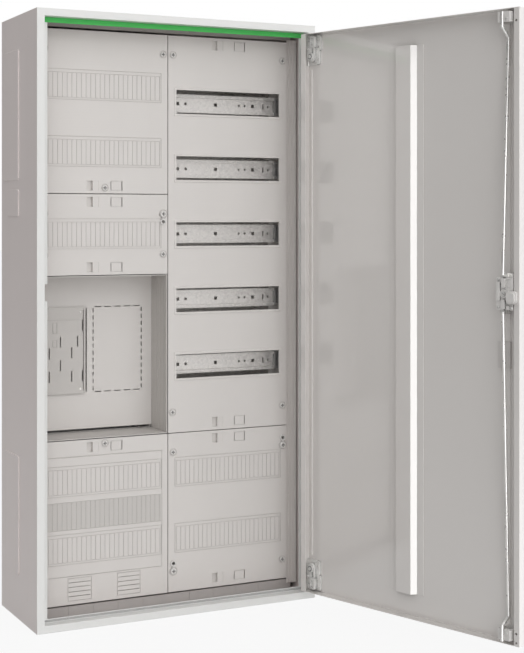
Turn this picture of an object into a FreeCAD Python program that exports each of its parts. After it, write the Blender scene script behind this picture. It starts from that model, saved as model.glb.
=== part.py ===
import FreeCAD, Part
import math
import os
from FreeCAD import Vector

# Two-field wall cabinet for meters and modular switchgear, door swung open.
#
# The pieces are drawn in cabinet coordinates, in millimetres:
#   X  from the centre line to the right
#   Y  from the front plane of the frame towards the wall
#   Z  up from the underside
# Door pieces are drawn on the shut door and then swung open about the hinge line.
# On saving, everything moves so that the origin is the centre of the wall fixing
# holes on the back plane.

# ---- driving dimensions -------------------------------------------------------
WIDTH = 550.0
HEIGHT = 1100.0
DEPTH = 225.0
SHEET = 1.2                      # steel sheet of the casing and the door

FIELD_WIDTH = 250.0              # each of the two device fields
FIELD_CENTRES = (-125.0, 125.0)
FIELD_BOTTOM = 25.0              # lowest edge of the covers
FIELD_TOP = 1075.0

RIM_SIDE = 14.0                  # front face of the frame, left and right
RIM_END = 13.4                   # front face of the frame, top and bottom
RECESS = 20.0                    # from the frame's front to the lip behind the door
LIP_SIDE = 11.0
LIP_END = 6.3

PAD_RISE = 2.0                   # pressed pads on the sides

WALL_HOLE_SPACING_X = 440.0
WALL_HOLE_SPACING_Z = 1020.0
WALL_HOLE_RADIUS = 4.5

COVER_FRONT = 72.0               # Y of the covers' front faces
COVER_THICK = 2.0
COVER_SKIRT = 8.0
COVER_GAP = 0.75                 # half of the joint between two covers
SLOT_HALF_WIDTH = 108.0          # twelve 18 mm modules
SLOT_HALF_HEIGHT = 22.5
HALF_MODULE = 9.0

UPRIGHT_FRONT = 113.0
UPRIGHT_SHEET = 1.5
CROSS_FRONT = 80.0               # Y of the cross members beyond the covers
CROSS_INSET = 3.2                # from the case's top and bottom to the cross members
CROSS_GAP = 4.0                  # between the covers and the cross members
FILLER_FRONT = 77.0              # Y of the strips between the covers and the side panels
RAIL_FRONT = 105.0               # Y of the lips of the 35 mm rails
RAIL_HEIGHT = 35.0
RAIL_DEPTH = 7.5
RAIL_SHEET = 1.0
RAIL_START = -109.0              # rail ends, measured from the field's centre
RAIL_END = 113.7
OPEN_ROWS = (950.0, 825.0, 700.0, 575.0, 450.0)
RIGHT_COVERED_ROWS = (250.0, 125.5)
LEFT_TOP_ROWS = (973.0, 851.0)
LEFT_MIDDLE_ROWS = (700.5,)
LEFT_BOTTOM_ROWS = (250.0, 126.0)

BAY_BOTTOM = 325.0
BAY_TOP = 625.0
BAY_BACK = 150.0                 # Y of the plate at the back of the meter bay

DOOR_WIDTH = 519.0
DOOR_HEIGHT = 1062.0
DOOR_THICK = 21.0
DOOR_PROUD = 2.0                 # how far the shut door stands in front of the frame
DOOR_OPEN_ANGLE = 107.0
HINGE_SIDE_LIP = 12.0
FREE_SIDE_LIP = 11.0
DOOR_BOTTOM = (HEIGHT - DOOR_HEIGHT) / 2
DOOR_TOP = DOOR_BOTTOM + DOOR_HEIGHT
HINGE_X = 260.0
HINGE_Y = -1.0
HINGE_LENGTH = 56.0
HINGE_BOTTOMS = (22.0, 1022.0)
KNUCKLE_RADIUS = 4.0
PIN_RADIUS = 2.0
RUNNING_GAP = 0.05

LOCK_T = 487.0                   # lock spindle, measured across the door from the hinge edge
LOCK_Z = 604.0
PINION_TEETH = 16
PINION_MODULE = 1.25
PINION_RADIUS = PINION_TEETH * PINION_MODULE / 2
ROD_RADIUS = 3.0
ROD_T = 487.5                    # both lock rods run at this distance across the door
ROD_LOCK_N = 24.5                # in front of the lock
ROD_BEND_N = 9.0                 # close to the skin, before the bend at the guides
ROD_END_N = 26.5                 # through the guides
ROD_UPPER_BENDS = (1034.0, 1050.0)
ROD_LOWER_BENDS = (62.0, 50.0)
ROD_UPPER_END = 1075.5
ROD_LOWER_END = 24.5
ROD_TRAVEL = 15.8
UPPER_GUIDE = (1057.5, 1075.0)
LOWER_GUIDE = (27.0, 45.0)

STIFFENER_T = 252.5              # centre of the stiffener across the door
STIFFENER_Z = (59.0, 1039.0)
STIFFENER_HEIGHT = 11.8          # its crown, from the outer skin
STIFFENER_CROWN = 17.5           # half widths of its crown, of its foot and of its flanges
STIFFENER_FOOT = 25.3
STIFFENER_EDGE = 40.2

# ---- values that follow from the driving dimensions ----------------------------
LATCH_NOTCH = (LOCK_Z - 21, LOCK_Z + 9)
HALF_WIDTH = WIDTH / 2
INNER_X = HALF_WIDTH - SHEET
RIM_X = HALF_WIDTH - RIM_SIDE
LIP_X = RIM_X - LIP_SIDE
RIM_LOW = RIM_END
RIM_HIGH = HEIGHT - RIM_END
LIP_LOW = RIM_LOW + LIP_END
LIP_HIGH = RIM_HIGH - LIP_END
COVER_BACK = COVER_FRONT + COVER_THICK
DOOR_EDGE_X = DOOR_WIDTH / 2
DOOR_FRONT = -DOOR_PROUD
REAR_FACE = DEPTH - SHEET

ALONG_X = Vector(1, 0, 0)
ALONG_Y = Vector(0, 1, 0)
ALONG_Z = Vector(0, 0, 1)


# ---- small helpers --------------------------------------------------------------
def box(x, y, z):
    """Box between low and high values on each axis."""
    return Part.makeBox(x[1] - x[0], y[1] - y[0], z[1] - z[0], Vector(x[0], y[0], z[0]))


def round_y(x, y, z, radius):
    """Round bar along Y, from y[0] to y[1]."""
    return Part.makeCylinder(radius, y[1] - y[0], Vector(x, y[0], z), ALONG_Y)


def round_z(x, y, z, radius):
    """Round bar along Z, from z[0] to z[1]."""
    return Part.makeCylinder(radius, z[1] - z[0], Vector(x, y, z[0]), ALONG_Z)


def soften(shape, direction, radius):
    """Round the straight edges of a box that run along one direction."""
    edges = [e for e in shape.Edges if abs(e.tangentAt(e.FirstParameter).dot(direction)) > 0.99]
    return shape.makeFillet(radius, edges)


def join(pieces):
    """One solid from pieces that touch or overlap."""
    return pieces[0].fuse(pieces[1:]).removeSplitter()


def ring(outer_x, outer_z, inner_x, inner_z, y):
    """Flat rectangular ring that faces the front."""
    through = (y[0] - 1, y[1] + 1)
    return box(outer_x, y, outer_z).cut(box(inner_x, through, inner_z))


def door_box(t, n, z):
    """Box on the shut door: t across from the hinge edge, n inwards from the skin."""
    x = (DOOR_EDGE_X - t[1], DOOR_EDGE_X - t[0])
    return box(x, (DOOR_FRONT + n[0], DOOR_FRONT + n[1]), z)


def door_round(t, n, z, radius):
    """Round bar that stands square on the shut door."""
    return round_y(DOOR_EDGE_X - t, (DOOR_FRONT + n[0], DOOR_FRONT + n[1]), z, radius)


def door_point(t, n, z):
    return Vector(DOOR_EDGE_X - t, DOOR_FRONT + n, z)


def save(name, shape, on_door=False):
    """Write one node, moved to the row's origin, with door pieces swung open."""
    placed = shape.copy()
    if on_door:
        placed.rotate(Vector(HINGE_X, HINGE_Y, 0), ALONG_Z, DOOR_OPEN_ANGLE)
    placed.translate(Vector(0, -DEPTH, -HEIGHT / 2))
    placed.exportStep("parts/" + name + ".step")


# ---- casing ---------------------------------------------------------------------
def rear_panel():
    panel = box((-INNER_X, INNER_X), (REAR_FACE, DEPTH), (SHEET, HEIGHT - SHEET))
    holes = []
    for x in (-WALL_HOLE_SPACING_X / 2, WALL_HOLE_SPACING_X / 2):
        for z in (-WALL_HOLE_SPACING_Z / 2, WALL_HOLE_SPACING_Z / 2):
            holes.append(round_y(x, (REAR_FACE - 1, DEPTH + 1), HEIGHT / 2 + z, WALL_HOLE_RADIUS))
    return panel.cut(holes)


def side_panel(side):
    """Side sheet with three pressed pads where cable entries can be opened."""
    outer = side * HALF_WIDTH
    inner = side * INNER_X
    pad_rise = side * PAD_RISE
    sheet = box(sorted((outer, inner)), (SHEET, DEPTH), (0, HEIGHT))
    for y, z in (((111, 206), (800, 1038)), ((111, 184), (734, 783)), ((109, 199), (80, 297))):
        pad = soften(box(sorted((outer - side * 0.5, outer + pad_rise)), y, z), ALONG_X, 5)
        crest = HALF_WIDTH + PAD_RISE - 0.05
        pad = pad.makeChamfer(0.8, [e for e in pad.Edges if side * e.CenterOfMass.x > crest])
        hollow = box(sorted((inner, inner + pad_rise)), (y[0] + 2, y[1] - 2), (z[0] + 2, z[1] - 2))
        middle = (z[0] + z[1]) / 2
        notch_x = sorted((inner - side, outer + 2 * side))
        notch = box(notch_x, (y[0] + 1, y[0] + 3.5), (middle - 6, middle + 6))
        sheet = sheet.fuse(pad).cut(hollow)
        if z[1] - z[0] > 100:
            sheet = sheet.cut(notch)
    for z in (48, 1053):
        dimple = Part.makeSphere(4, Vector(outer + side * 3.2, 56, z))
        sheet = sheet.cut(dimple)
    return sheet.removeSplitter()


def end_panel(z):
    """Top or bottom sheet with one large cable opening."""
    sheet = box((-INNER_X, INNER_X), (SHEET, REAR_FACE), z)
    opening = box((-190, 190), (85, 185), (z[0] - 1, z[1] + 1))
    return sheet.cut(soften(opening, ALONG_Z, 6))


def entry_plate(face, inward):
    """Plate over a cable opening, with pressed rings where it can be knocked out."""
    thick = 1.5
    plate = box((-205, 205), (70, 200), sorted((face, face + inward * thick)))
    plate = soften(plate, ALONG_Z, 8)
    rings = []
    for column in range(7):
        for row, radius in ((110, 10), (158, 16)):
            x = -156 + column * 52
            groove = Part.makeCylinder(radius, 0.6, Vector(x, row, face - 0.3), ALONG_Z)
            core = Part.makeCylinder(radius - 1, 0.6, Vector(x, row, face - 0.3), ALONG_Z)
            rings.append(groove.cut(core))
    return plate.cut(rings)


def front_frame():
    """Folded frame: front face, recess walls and the lip behind the door, notched for the latch."""
    whole_x = (-HALF_WIDTH, HALF_WIDTH)
    rim_x = (-RIM_X, RIM_X)
    rim_z = (RIM_LOW, RIM_HIGH)
    wall_x = (-RIM_X - SHEET, RIM_X + SHEET)
    wall_z = (RIM_LOW - SHEET, RIM_HIGH + SHEET)
    face = ring(whole_x, (0, HEIGHT), rim_x, rim_z, (0, SHEET))
    walls = ring(wall_x, wall_z, rim_x, rim_z, (0, RECESS + SHEET))
    lip = ring(wall_x, wall_z, (-LIP_X, LIP_X), (LIP_LOW, LIP_HIGH), (RECESS, RECESS + SHEET))
    frame = join([face, walls, lip])
    notches = []
    for z in HINGE_BOTTOMS:
        notches.append(box((RIM_X - 0.5, RIM_X + 4), (-1, 5), (z - 0.5, z + HINGE_LENGTH + 0.5)))
    notches.append(box((-258, -LIP_X + 1), (RECESS - 1, RECESS + 3), LATCH_NOTCH))
    return frame.cut(notches)


def door_seal():
    """Thin foam bead on the two sides and the bottom of the lip, open at the latch."""
    y = (RECESS - 0.9, RECESS)
    top = LIP_HIGH - 4
    bead = ring((-259, 259), (RIM_LOW + 1, top), (-255, 255), (RIM_LOW + 5, top + 1), y)
    return bead.cut(box((-260, -254), (RECESS - 2, RECESS + 1), (LATCH_NOTCH[0] - 1, LATCH_NOTCH[1] + 1)))


def green_trim_strip():
    """Coloured strip across the top, in front of the lip."""
    return box((-RIM_X + 0.5, RIM_X - 0.5), (RECESS - 0.8, RECESS), (LIP_HIGH - 3, RIM_HIGH - 0.1))


# ---- mounting frame --------------------------------------------------------------
def side_upright(side):
    """Channel that carries the covers and the rails at the outside of a field."""
    z = (FIELD_BOTTOM, FIELD_TOP)
    front = box(sorted((side * 230, side * 266)), (UPRIGHT_FRONT, UPRIGHT_FRONT + UPRIGHT_SHEET), z)
    web = box(sorted((side * 264.5, side * 266)), (UPRIGHT_FRONT, REAR_FACE), z)
    foot = box(sorted((side * 244, side * 266)), (REAR_FACE - UPRIGHT_SHEET, REAR_FACE), z)
    upright = join([front, web, foot])
    holes = [
        round_y(side * 240, (UPRIGHT_FRONT - 1, UPRIGHT_FRONT + 3), hole_z, 3.2)
        for hole_z in (1037.5, 737.5, 662.5, 364, 286.5, 63)
    ]
    upright = upright.cut(holes)
    if side < 0:
        bay = box((-249.5, -229), (UPRIGHT_FRONT - 1, UPRIGHT_FRONT + 3), (BAY_BOTTOM, BAY_TOP))
        upright = upright.cut(bay)
    return upright


def centre_upright():
    z = (FIELD_BOTTOM, FIELD_TOP)
    front = box((-16, 16), (UPRIGHT_FRONT, UPRIGHT_FRONT + UPRIGHT_SHEET), z)
    web = box((-UPRIGHT_SHEET / 2, UPRIGHT_SHEET / 2), (UPRIGHT_FRONT, REAR_FACE), z)
    foot = box((-16, 16), (REAR_FACE - UPRIGHT_SHEET, REAR_FACE), z)
    upright = join([front, web, foot])
    holes = [
        round_y(side * 10, (UPRIGHT_FRONT - 1, UPRIGHT_FRONT + 3), hole_z, 3.6)
        for side in (-1, 1)
        for hole_z in (1037.5, 738, 662.5, 364, 289, 65)
    ]
    bay = box((-17, -UPRIGHT_SHEET / 2), (UPRIGHT_FRONT - 1, UPRIGHT_FRONT + 3), (BAY_BOTTOM, BAY_TOP))
    return upright.cut(holes).cut(bay)


def cross_rail(outer, inner):
    """Folded cross member that closes the gap beyond the covers, from its outer to its inner level."""
    x = (-262, 262)
    z = sorted((outer, inner))
    fold = sorted((inner, inner + math.copysign(SHEET, outer - inner)))
    front = box(x, (CROSS_FRONT, CROSS_FRONT + SHEET), z)
    flange = box(x, (CROSS_FRONT, UPRIGHT_FRONT + 6), fold)
    scores = []
    for line in (-192, -144, -96, -47, 47, 96, 144, 192):
        scores.append(box((line - 0.5, line + 0.5), (CROSS_FRONT - 1, CROSS_FRONT + 0.6), z))
    return join([front, flange]).cut(scores)


def side_filler_strips():
    """Folded strip on each side that closes the view past the covers to the casing."""
    z = (14, HEIGHT - 20)
    strips = []
    for side in (-1, 1):
        face = box(sorted((side * 251.6, side * 271)), (FILLER_FRONT, FILLER_FRONT + SHEET), z)
        fold = box(sorted((side * 264.8, side * 266)), (FILLER_FRONT, UPRIGHT_FRONT), z)
        lip = box(sorted((side * 269.8, side * 271)), (FILLER_FRONT - 5, FILLER_FRONT + SHEET), z)
        strip = join([face, fold, lip])
        for line in (255.5, 262):
            line_x = (side * line - 0.7, side * line + 0.7)
            strip = strip.cut(box(line_x, (FILLER_FRONT - 1, FILLER_FRONT + 0.8), z))
        strips.append(strip)
    return Part.makeCompound(strips)


def upright_bolts():
    """Hexagon bolts that hold the uprights' feet to the rear panel."""
    bolts = []
    for x in (-254, 10, 254):
        for z in (90, 300, 550, 800, 1010):
            outline = Part.makePolygon([
                Vector(x + 5 * math.cos(math.radians(a)), 0, z + 5 * math.sin(math.radians(a)))
                for a in range(0, 361, 60)
            ])
            head = Part.Face(outline).extrude(Vector(0, 3.5, 0))
            head.translate(Vector(0, REAR_FACE - UPRIGHT_SHEET - 3.5, 0))
            bolts.append(head)
    return Part.makeCompound(bolts)


def rail(field, z):
    """35 mm top-hat rail with square and round holes in its web."""
    x = (field + RAIL_START, field + RAIL_END)
    half = RAIL_HEIGHT / 2
    web_y = (RAIL_FRONT + RAIL_DEPTH - RAIL_SHEET, RAIL_FRONT + RAIL_DEPTH)
    pieces = [box(x, web_y, (z - 12.5, z + 12.5))]
    for side in (-1, 1):
        flange_z = sorted((z + side * 11.5, z + side * half))
        wall_z = sorted((z + side * 11.5, z + side * 12.5))
        pieces.append(box(x, (RAIL_FRONT, RAIL_FRONT + RAIL_SHEET), flange_z))
        pieces.append(box(x, (RAIL_FRONT, RAIL_FRONT + RAIL_DEPTH), wall_z))
    bar = join(pieces)
    through = (web_y[0] - 1, web_y[1] + 1)
    holes = []
    for offset in (-88.9, -9.7, 69.7):
        holes.append(box((field + offset - 3.2, field + offset + 3.2), through, (z - 3.2, z + 3.2)))
    for offset, radius in ((-72.5, 2.8), (39.7, 2.2), (52.3, 2.2), (104, 2.8)):
        holes.append(round_y(field + offset, through, z, radius))
    slot = box((field + 91, field + 93.6), through, (z - 5, z + 5))
    return bar.cut(holes + [slot])


def rail_pair(rows_by_field):
    return Part.makeCompound([rail(field, z) for field, rows in rows_by_field for z in rows])


def rail_bracket(field, z, right):
    """Moulded block that holds one end of a rail on the upright."""
    if right:
        x = (field + RAIL_END, field + RAIL_END + 10)
    else:
        x = (field + RAIL_START - 11, field + RAIL_START)
    block = box(x, (RAIL_FRONT - 1, UPRIGHT_FRONT), (z - 17, z + 17))
    relief = box((x[0] + 3, x[1] - 3), (RAIL_FRONT - 2, RAIL_FRONT + 3), (z - 12, z + 12))
    return block.cut(relief)


def rail_brackets():
    left, right = FIELD_CENTRES
    blocks = []
    for field, rows in ((left, LEFT_TOP_ROWS + LEFT_MIDDLE_ROWS + LEFT_BOTTOM_ROWS),
                        (right, OPEN_ROWS + RIGHT_COVERED_ROWS)):
        for z in rows:
            blocks.append(rail_bracket(field, z, False))
            blocks.append(rail_bracket(field, z, True))
    return Part.makeCompound(blocks)


# ---- covers ----------------------------------------------------------------------
def cover_blank(field, low, high):
    """Moulded cover: front plate with a skirt folded back all round."""
    edge = FIELD_WIDTH / 2 - COVER_GAP
    x = (field - edge, field + edge)
    z = (low + COVER_GAP, high - COVER_GAP)
    plate = box(x, (COVER_FRONT, COVER_BACK), z)
    inner_x = (x[0] + 1.6, x[1] - 1.6)
    inner_z = (z[0] + 1.6, z[1] - 1.6)
    skirt = ring(x, z, inner_x, inner_z, (COVER_FRONT, COVER_BACK + COVER_SKIRT))
    return join([plate, skirt])


def grip_pockets(cover, field, low):
    """Two finger grips: a ramp that ends at a wall on the left, a framed field on the right."""
    high = low + 18
    wall = field - 23
    left = (field - 34.5, field - 11.5)
    right = (field + 11.5, field + 34.5)
    shell = box((left[0] - 1, wall + 1.5), (COVER_BACK, COVER_FRONT + 7), (low - 1, high + 1))
    profile = [
        Vector(left[0], COVER_FRONT - 0.01, low),
        Vector(wall, COVER_FRONT - 0.01, low),
        Vector(wall, COVER_FRONT + 5.5, low),
        Vector(left[0], COVER_FRONT + 0.8, low),
    ]
    ramp = Part.Face(Part.makePolygon(profile + profile[:1])).extrude(Vector(0, 0, high - low))
    shallow = box((wall + 2.5, left[1]), (COVER_FRONT - 1, COVER_FRONT + 0.7), (low, high))
    field_floor = box(right, (COVER_FRONT - 1, COVER_FRONT + 0.6), (low, high))
    inner = ((right[0] + 1.3, right[1] - 1.3), (low + 1.3, high - 1.3))
    outline = ring(right, (low, high), inner[0], inner[1], (COVER_FRONT - 1, COVER_FRONT + 1.5))
    slots = [
        box((right[0], right[0] + 1.5), (COVER_FRONT - 1, COVER_BACK + 1), inner[1]),
        box((right[1] - 1.5, right[1]), (COVER_FRONT - 1, COVER_BACK + 1), inner[1]),
    ]
    return cover.fuse(shell).cut([ramp, shallow, field_floor, outline] + slots).removeSplitter()


def break_out_row(cover, field, z, front=COVER_FRONT):
    """Row of half-module cells scored into a cover face at y = front, ready to be snapped out."""
    top = z + SLOT_HALF_HEIGHT
    bottom = z - SLOT_HALF_HEIGHT
    groove_y = (front - 1, front + 1.1)
    x = (field - SLOT_HALF_WIDTH, field + SLOT_HALF_WIDTH)
    cutters = []
    count = int(2 * SLOT_HALF_WIDTH / HALF_MODULE)
    for index in range(count + 1):
        line = x[0] + index * HALF_MODULE
        cutters.append(box((line - 0.5, line + 0.5), groove_y, (bottom, top)))
    for line in (bottom, top):
        cutters.append(box((x[0] - 0.5, x[1] + 0.5), groove_y, (line - 0.5, line + 0.5)))
    for line in (bottom - 4, top + 6):
        cutters.append(box((x[0] - 3, x[1] + 3), groove_y, (line - 0.6, line + 0.6)))
    for line in (x[0] - 3, x[1] + 3):
        cutters.append(box((line - 0.6, line + 0.6), groove_y, (bottom - 4, top + 6)))
    return cover.cut(cutters)


def open_slot(cover, field, z):
    """Open device slot with a low rounded rim."""
    x = (field - SLOT_HALF_WIDTH, field + SLOT_HALF_WIDTH)
    bounds = (z - SLOT_HALF_HEIGHT, z + SLOT_HALF_HEIGHT)
    rim_z = (bounds[0] - 4.5, bounds[1] + 4.5)
    rim = box((x[0] - 4.5, x[1] + 4.5), (COVER_FRONT - 1.2, COVER_BACK), rim_z)
    rim = rim.makeChamfer(0.8, [e for e in rim.Edges if e.CenterOfMass.y < COVER_FRONT - 1.19])
    return cover.fuse(rim).cut(box(x, (COVER_FRONT - 2, COVER_BACK + 1), bounds))


def screw_holes(cover, places, inner=5.3, outer=7.6):
    """Clearance holes, each inside a round groove that sets off the head or the knob."""
    tools = []
    for x, z in places:
        tools.append(round_y(x, (COVER_FRONT - 2, COVER_BACK + 8), z, 2.75))
        groove = round_y(x, (COVER_FRONT - 1, COVER_FRONT + 1.5), z, outer)
        tools.append(groove.cut(round_y(x, (COVER_FRONT - 2, COVER_FRONT + 2), z, inner)))
    return cover.cut(tools)


def louvre(cover, x, z):
    """Vent panel: an outlined field with four narrow slits."""
    inner = ((x[0] + 1.2, x[1] - 1.2), (z[0] + 1.2, z[1] - 1.2))
    tools = [ring(x, z, inner[0], inner[1], (COVER_FRONT - 1, COVER_FRONT + 1.4))]
    for index in range(1, 5):
        level = z[0] + index * (z[1] - z[0]) / 5
        slit_z = (level - 0.5, level + 0.5)
        tools.append(box((x[0] + 2, x[1] - 2), (COVER_FRONT - 1, COVER_BACK + 1), slit_z))
    return cover.cut(tools)


SCREW_PLACES = {
    "top_left_cover": ((-240, 1037.5), (-10, 1037.5), (-125, 786)),
    "middle_left_cover": ((-240, 737.5), (-240, 662.5), (-10, 662.5)),
    "bottom_left_cover": ((-125, 315.5),),
    "top_right_cover": ((10, 1037.5), (240, 1037.5), (9, 364), (240, 364)),
    "bottom_right_cover": ((10, 289), (239.5, 63)),
}
# Knob centre, and the side of it on which the sealing eye hangs at rest (+1 above, -1 below).
TURN_LOCK_PLACES = {
    "middle_left_turn_lock": (-10, 738.0, -1),
    "bottom_right_upper_turn_lock": (240.5, 286.5, 1),
    "bottom_right_lower_turn_lock": (10.5, 65.0, 1),
}


KNOB_RING = (6.6, 8.4)           # radii of the groove round a turn lock
EYE_REACH = 14.5                 # from a knob's centre to its sealing eye


def knob_holes(cover, *names):
    """Holes for turn locks, each with a hole for the seal's wire behind the eye."""
    for name in names:
        x, z, side = TURN_LOCK_PLACES[name]
        cover = screw_holes(cover, [(x, z)], *KNOB_RING)
        cover = cover.cut(round_y(x, (COVER_FRONT - 1, COVER_BACK + 1), z + side * EYE_REACH, 3.4))
    return cover


def top_left_cover():
    field = FIELD_CENTRES[0]
    cover = grip_pockets(cover_blank(field, 775, FIELD_TOP), field, 781)
    for z in LEFT_TOP_ROWS:
        cover = break_out_row(cover, field, z)
    return screw_holes(cover, SCREW_PLACES["top_left_cover"])


def middle_left_cover():
    field = FIELD_CENTRES[0]
    cover = cover_blank(field, BAY_TOP, 775)
    cover = grip_pockets(grip_pockets(cover, field, 751), field, 631)
    cover = break_out_row(cover, field, LEFT_MIDDLE_ROWS[0])
    cover = screw_holes(cover, SCREW_PLACES["middle_left_cover"])
    return knob_holes(cover, "middle_left_turn_lock")


def bottom_left_cover():
    """Cover with a raised middle inside a groove, a window for the blanking strip and two vents."""
    field = FIELD_CENTRES[0]
    cover = cover_blank(field, FIELD_BOTTOM, BAY_BOTTOM)
    front = COVER_FRONT - 1.4
    x = (field - 112, field + 112)
    z = (78, 294)
    raised = box(x, (front, COVER_FRONT), z)
    groove_y = (COVER_FRONT - 1, COVER_FRONT + 1.2)
    groove = ring((x[0] - 1.2, x[1] + 1.2), (z[0] - 1.2, z[1] + 1.6), x, z, groove_y)
    cover = grip_pockets(cover.fuse(raised).cut(groove), field, 301)
    cover = cover.cut(box((field - 109, field + 114), (front - 1, COVER_BACK + 1), (162, 213)))
    for row in LEFT_BOTTOM_ROWS:
        cover = break_out_row(cover, field, row, front)
    for vent_x in ((-196, -150), (-101, -55)):
        cover = louvre(cover, vent_x, (32, 74))
    return screw_holes(cover, SCREW_PLACES["bottom_left_cover"])


def top_right_cover():
    field = FIELD_CENTRES[1]
    cover = cover_blank(field, BAY_BOTTOM, FIELD_TOP)
    cover = grip_pockets(grip_pockets(cover, field, 1051), field, 332)
    for z in OPEN_ROWS:
        cover = open_slot(cover, field, z)
    return screw_holes(cover, SCREW_PLACES["top_right_cover"])


def bottom_right_cover():
    field = FIELD_CENTRES[1]
    cover = cover_blank(field, FIELD_BOTTOM, BAY_BOTTOM)
    cover = grip_pockets(grip_pockets(cover, field, 301), field, 34)
    for z in RIGHT_COVERED_ROWS:
        cover = break_out_row(cover, field, z)
    cover = screw_holes(cover, SCREW_PLACES["bottom_right_cover"])
    return knob_holes(cover, "bottom_right_upper_turn_lock", "bottom_right_lower_turn_lock")


def blanking_strip():
    """Snap-in strip that fills the unused window of the bottom left cover, scored every half module."""
    field = FIELD_CENTRES[0]
    front = COVER_FRONT - 1.0
    body = box((field - 108.7, field + 113.7), (front, COVER_BACK), (162.3, 212.7))
    grooves = []
    for index in range(1, 25):
        x = field - 108.7 + index * HALF_MODULE
        grooves.append(box((x - 0.4, x + 0.4), (front - 1, front + 0.7), (162, 213)))
    return body.cut(grooves)


def cross_slot(x, z, front):
    """Cross recess for a screwdriver with a deeper round middle, sunk into a face at y = front."""
    y = (front - 0.5, front + 1.8)
    return [
        box((x - 3.4, x + 3.4), y, (z - 1.1, z + 1.1)),
        box((x - 1.1, x + 1.1), y, (z - 3.4, z + 3.4)),
        round_y(x, (front - 0.5, front + 4), z, 1.5),
    ]


def cover_screws():
    """Round plastic screws that hold the covers."""
    screws = []
    front = COVER_FRONT - 2.2
    for places in SCREW_PLACES.values():
        for x, z in places:
            head = round_y(x, (front, COVER_FRONT), z, 5.0)
            head = head.makeChamfer(0.8, [e for e in head.Edges if e.CenterOfMass.y < front + 0.1])
            reach = COVER_BACK + 5 if abs(x) == 125 else UPRIGHT_FRONT + 2.5
            shank = round_y(x, (COVER_FRONT, reach), z, 2.5)
            screws.append(join([head, shank]).cut(cross_slot(x, z, front)))
    return Part.makeCompound(screws)


def turn_lock(x, z, side):
    """Quarter-turn knob with a sealing eye beside it and a cam behind the upright."""
    front = COVER_FRONT - 4
    behind = COVER_FRONT - 0.1
    eye_z = z + side * EYE_REACH
    knob = round_y(x, (front, behind), z, 6.2)
    knob = knob.makeChamfer(0.9, [e for e in knob.Edges if e.CenterOfMass.y < front + 0.1])
    neck = box((x - 1.8, x + 1.8), (COVER_FRONT - 2, behind), sorted((z, z + side * 11)))
    eye = round_y(x, (COVER_FRONT - 3, behind), eye_z, 5.6)
    shank = round_y(x, (behind, UPRIGHT_FRONT + 4.5), z, 2.5)
    cam = box((x - 2.4, x + 2.4), (UPRIGHT_FRONT + 2, UPRIGHT_FRONT + 4.5), (z - 6, z + 6))
    lock = join([knob, neck, eye, shank, cam])
    eye_hole = round_y(x, (COVER_FRONT - 5, COVER_FRONT + 1), eye_z, 3.4)
    return lock.cut([eye_hole] + cross_slot(x, z, front))


# ---- meter bay --------------------------------------------------------------------
def meter_bay_frame():
    """Four walls that line the open meter bay, fluted at the sides, with a flange at the back."""
    edge = FIELD_WIDTH / 2 - 1
    field = FIELD_CENTRES[0]
    outer_x = (field - edge, field + edge)
    outer_z = (BAY_BOTTOM + 0.8, BAY_TOP - 0.8)
    inner_x = (outer_x[0] + 1.5, outer_x[1] - 1.5)
    inner_z = (outer_z[0] + 1.5, outer_z[1] - 1.5)
    walls = ring(outer_x, outer_z, inner_x, inner_z, (COVER_FRONT + 1, BAY_BACK + 8))
    window_x = (inner_x[0] + 12, inner_x[1] - 3)
    window_z = (inner_z[0] + 1, inner_z[1] - 12)
    back = ring(outer_x, outer_z, window_x, window_z, (BAY_BACK + 6.5, BAY_BACK + 8))
    flutes = []
    for y in range(82, 146, 9):
        flutes.append(box((inner_x[0] - 0.7, inner_x[1] + 0.7), (y - 0.7, y + 0.7), inner_z))
    return join([walls, back]).cut(flutes)


def dashes(start, end, count, gap):
    """Low and high ends of dashes that fill a length, with a gap round each."""
    pitch = (end - start) / count
    return [(start + i * pitch + gap / 2, start + (i + 1) * pitch - gap / 2) for i in range(count)]


def meter_back_plate():
    """Plate at the back of the bay: a perforated knock-out field, and a window behind the meter plate."""
    plate = box((-247.4, -2.6), (BAY_BACK, BAY_BACK + 1.5), (333.5, 622.5))
    y = (BAY_BACK - 1, BAY_BACK + 3)
    plate = plate.cut(box((-242, -139.5), y, (405, 559)))
    x = (-120.4, -23.5)
    z = (402, 562.5)
    slits = [box((-135.2, -132.8), y, (403, 561))]
    for low, high in dashes(x[0], x[1], 5, 6.5):
        for level in z:
            slits.append(box((low, high), y, (level - 0.9, level + 0.9)))
    for low, high in dashes(z[0], z[1], 12, 5.2):
        for line in x:
            slits.append(box((line - 1, line + 1), y, (low, high)))
    return plate.cut(slits)


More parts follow.
